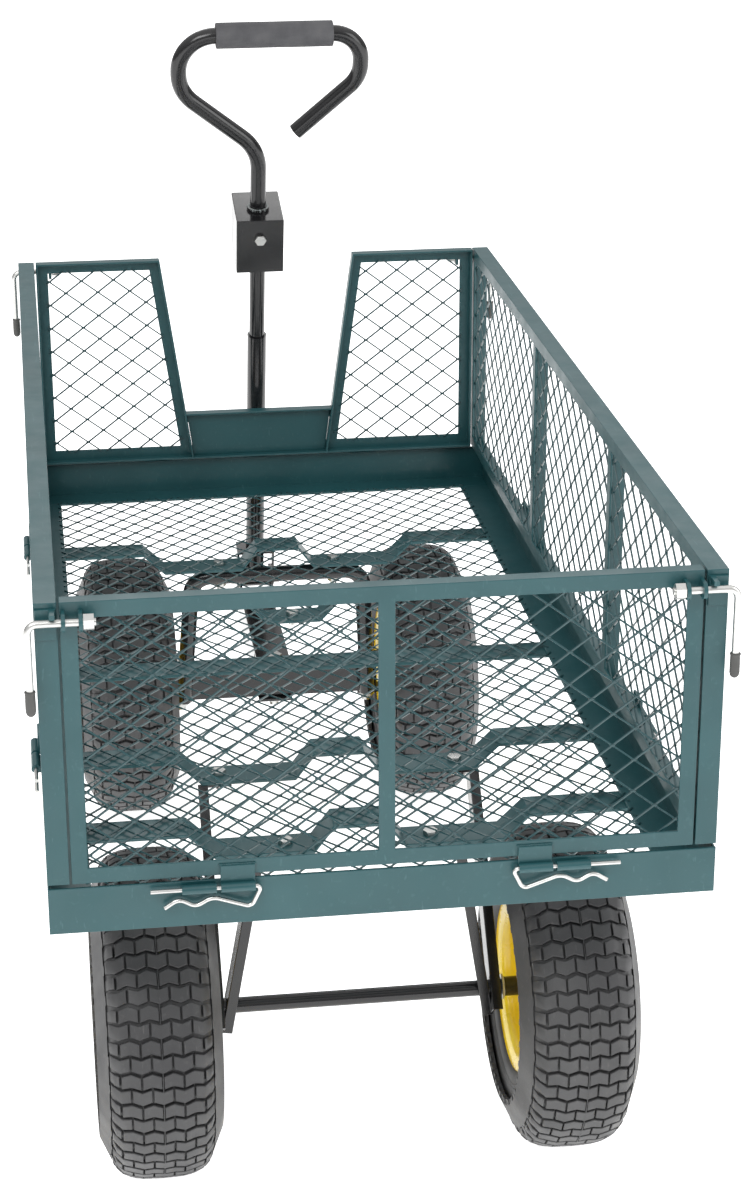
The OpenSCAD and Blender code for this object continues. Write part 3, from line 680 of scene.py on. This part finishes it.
def handle_line():
    """The handle's pivot, the middle of its grip and the unit vector along the handle."""
    low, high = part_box("tongue_bolt")
    pivot = (low + high) / 2
    pivot.x = 0
    low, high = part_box("foam_grip")
    grip = (low + high) / 2
    top = Vector((0, grip.y, grip.z))
    return pivot, grip, (top - pivot).normalized()


def build_grip():
    """The foam sleeve around the handle's loop, with rounded ends."""
    _, grip, _ = handle_line()
    low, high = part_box("foam_grip")
    half = (high.x - low.x) / 2
    radius = (high.z - low.z) / 2
    bore = 10.1 * MM
    edge = 1.3 * MM
    end = [(half, bore), (half, radius - edge), (half - edge * 0.3, radius - edge * 0.3),
           (half - edge, radius - 0.1 * MM)]
    belly = [(half * 0.5, radius), (0, radius - 0.15 * MM)]
    side = end + belly
    profile = side + [(-along, size) for along, size in reversed(side[:-1])]
    mesh = lathe(profile, grip, AXIS_X, 64)
    add_piece("foam_grip_look", "handle", FOAM, mesh, ("foam_grip",), smooth=50)


def build_latch_grips():
    """Rubber caps on the hanging ends of the latch rods."""
    for end in ENDS:
        for side, _ in SIDES:
            node = "latch_grip_" + end + "_" + side
            low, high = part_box(node)
            centre = (low + high) / 2
            half = (high.z - low.z) / 2
            radius = (high.x - low.x) / 2
            profile = [(half, 0), (half, radius * 0.86), (half - 0.6 * MM, radius * 0.99),
                       (half - 1.6 * MM, radius * 0.99), (half - 2.4 * MM, radius * 0.9),
                       (0, radius * 0.93), (-half * 0.55, radius * 0.93), (-half * 0.8, radius * 0.8),
                       (-half * 0.94, radius * 0.5), (-half, radius * 0.2), (-half, 0)]
            mesh = lathe(profile, centre, AXIS_Z, 32, closed=False)
            body = body_of(node)
            add_piece(node + "_look", body, RUBBER, mesh, (node,), smooth=50)


def low_spacer_end():
    """Distance of the spacers' inner ends from the middle of the cart."""
    return min(abs(vertex.co.x) for vertex in NODES["axle_spacers"].data.vertices)


def build_washers():
    """Zinc washers between the axle's struts and spacers."""
    low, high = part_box("axle_spacers")
    centre = (low + high) / 2
    middle = Vector((0, centre.y, centre.z))
    bore, radius, chamfer = 8.3 * MM, 12.8 * MM, 0.4 * MM
    inner = low_spacer_end() + 0.2 * MM
    outer = inner + 2.5 * MM
    profile = [(inner, bore), (inner, radius - chamfer), (inner + chamfer, radius),
               (outer - chamfer, radius), (outer, radius - chamfer), (outer, bore)]
    rings = [lathe(profile, middle, AXIS_X * sign, 40) for sign in (-1, 1)]
    add_piece("axle_washers", "chassis", ZINC, joined(rings), smooth=35)


WELD_SINK = 1.5 * MM
WELD_RADIUS = 12.0 * MM
WELD_COUNT = 26


def build_welds():
    """A ring of weld around the handle's upper rod, where it enters the hitch box."""
    pivot, _, along = handle_line()
    reach = max((vertex.co - pivot).dot(along) for vertex in NODES["hitch_box"].data.vertices)
    top = pivot + along * (reach - WELD_SINK)
    beside = along.cross(AXIS_X).normalized()
    chance = random.Random(7)
    lumps = []
    for k in range(WELD_COUNT):
        angle = 2 * math.pi * k / WELD_COUNT
        spot = top + (AXIS_X * math.cos(angle) + beside * math.sin(angle)) * WELD_RADIUS
        size = chance.uniform(2.0, 2.7) * MM
        lumps.append(weld_lump(spot, along, size))
    add_piece("hitch_weld", "handle", WELD, joined(lumps), smooth=80)


def build_hinge_welds():
    """Weld beads along the tops of the hinge tabs, found from the hinge barrels and the clips."""
    fold_z = {joint["name"]: joint["pos_m"][2] for joint in frame["joints"] if "fold" in joint["name"]}
    tab_rise = 20 * MM
    tab_in, tab_out = 2 * MM, 33 * MM
    clip_offset = 11 * MM
    lift, bead = 0.6 * MM, 1.3 * MM
    top = fold_z["gate_fold"] + tab_rise
    centre_x = sum(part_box("clip_rear_right")[k].x for k in (0, 1)) / 2
    hinge = centre_x - clip_offset
    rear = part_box("tray_rail_rear")[0].y
    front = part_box("tray_rail_front")[1].y
    seed = 300
    for side, sign in SIDES:
        for end, body, y in (("rear", "gate", rear), ("front", "chassis", front)):
            face = y - lift if end == "rear" else y + lift
            start = Vector((sign * (hinge - tab_out), face, top))
            stop = Vector((sign * (hinge - tab_in), face, top))
            name = end + "_tab_weld_" + side
            weld_bead(name, body, start, stop, bead, seed, GREEN)
            seed += 1


SOFT_GREEN = {
    "tray_rail_left": 0.9, "tray_rail_right": 0.9, "tray_rail_rear": 0.9, "tray_rail_front": 0.9,
    "brace_rear": 1.0, "brace_mid_rear": 1.0, "brace_centre": 1.0, "brace_mid_front": 1.0,
    "brace_front": 1.0, "front_panel_frame": 0.7, "front_notch_plate": 0.5, "gate_frame": 0.7,
    "left_panel_frame": 0.7, "right_panel_frame": 0.7, "tray_hinge_barrels": 0.3,
}
SOFT_BLACK = {
    "axle_struts": 0.7, "steering_beam": 1.2, "drawbar": 0.8, "knuckle_left": 0.7,
    "knuckle_right": 0.7, "tie_bar": 0.7, "hitch_box": 1.3,
}
SOFT_ZINC = {"brace_bolts": 0.4, "steering_bolts": 0.5, "tongue_bolt": 0.5, "hitch_bolt": 0.5}


def build_softened():
    """Softened copies of the steel nodes; the numbers are the widths of the rounded edges in mm."""
    for node, width in SOFT_GREEN.items():
        softened(node, GREEN, width * MM)
    for node, width in SOFT_BLACK.items():
        softened(node, BLACK, width * MM)
    for node, width in SOFT_ZINC.items():
        softened(node, ZINC, width * MM, shortest=3 * MM)


def dress_cad_nodes():
    """The CAD nodes that stay in view get their materials."""
    looks = {"green_paint": GREEN, "black_paint": BLACK, "zinc_steel": ZINC, "grip_foam": FOAM,
             "grip_rubber": RUBBER, "yellow_paint": YELLOW, "tyre_rubber": TYRE}
    for row in frame["record"]["subparts"]:
        node = NODES[row["node"]]
        for slot in node.material_slots:
            slot.material = looks[row["material_slot"]]


# ---- Stage ----


def build_stage():
    """A wide pale floor, faintly lit from itself so that it runs into the white background."""
    reach = 30
    corners = [(-reach, -reach, 0), (reach, -reach, 0), (reach, reach, 0), (-reach, reach, 0)]
    mesh = bpy.data.meshes.new("floor")
    mesh.from_pydata(corners, [], [[0, 1, 2, 3]])
    floor = bpy.data.objects.new("floor", mesh)
    bpy.context.scene.collection.objects.link(floor)
    material, _, shader = new_material("floor")
    shader.inputs["Base Color"].default_value = (0.95, 0.95, 0.95, 1)
    shader.inputs["Roughness"].default_value = 0.9
    shader.inputs["Emission Color"].default_value = (1, 1, 1, 1)
    shader.inputs["Emission Strength"].default_value = 0.9
    mesh.materials.append(material)


def build_world():
    """White behind the object, and for everything else a sky that darkens towards the horizon."""
    world = bpy.data.worlds.new("studio")
    bpy.context.scene.world = world
    world.use_nodes = True
    tree = world.node_tree
    seen = tree.nodes["Background"]
    seen.inputs["Color"].default_value = (1, 1, 1, 1)
    around = tree.nodes.new("ShaderNodeBackground")
    around.inputs["Color"].default_value = (1, 1, 1, 1)
    place = tree.nodes.new("ShaderNodeTexCoord")
    split = tree.nodes.new("ShaderNodeSeparateXYZ")
    tree.links.new(place.outputs["Generated"], split.inputs["Vector"])
    tree.links.new(remap(tree, split.outputs["Z"], 0.0, 0.9, 0.22, 1.1), around.inputs["Strength"])
    rays = tree.nodes.new("ShaderNodeLightPath")
    choice = tree.nodes.new("ShaderNodeMixShader")
    tree.links.new(rays.outputs["Is Camera Ray"], choice.inputs["Fac"])
    tree.links.new(around.outputs["Background"], choice.inputs[1])
    tree.links.new(seen.outputs["Background"], choice.inputs[2])
    tree.links.new(choice.outputs["Shader"], tree.nodes["World Output"].inputs["Surface"])


def add_light(name, place, target, size, power):
    light = bpy.data.lights.new(name, "AREA")
    light.shape = "RECTANGLE"
    light.size, light.size_y = size
    light.energy = power
    lamp = bpy.data.objects.new(name, light)
    lamp.location = place
    lamp.rotation_euler = (Vector(target) - Vector(place)).to_track_quat("-Z", "Y").to_euler()
    bpy.context.scene.collection.objects.link(lamp)


def build_camera():
    """The camera looks down at the cart from behind its gate."""
    camera = bpy.data.cameras.new("camera")
    camera.sensor_fit = "VERTICAL"
    camera.sensor_height = 36
    camera.lens = 78.84
    rig = bpy.data.objects.new("camera", camera)
    rig.location = (-0.297, -2.771, 1.503)
    rig.rotation_euler = (math.radians(68.88), math.radians(0.11), math.radians(-7.82))
    bpy.context.scene.collection.objects.link(rig)
    bpy.context.scene.camera = rig


dress_cad_nodes()
build_softened()
build_meshes()
build_wheels()
build_grip()
build_latch_grips()
build_washers()
build_welds()
build_hinge_welds()
build_stage()
build_world()
add_light("key", (-1.6, -2.6, 3.2), (0, 0, 0.4), (2.2, 1.4), 60)
add_light("fill", (2.6, -1.4, 1.8), (0, 0, 0.4), (1.5, 2.0), 28)
add_light("back", (0.4, 3.0, 2.6), (0, 0.2, 0.5), (2.5, 1.0), 14)
build_camera()
bpy.context.scene.view_settings.view_transform = "Standard"
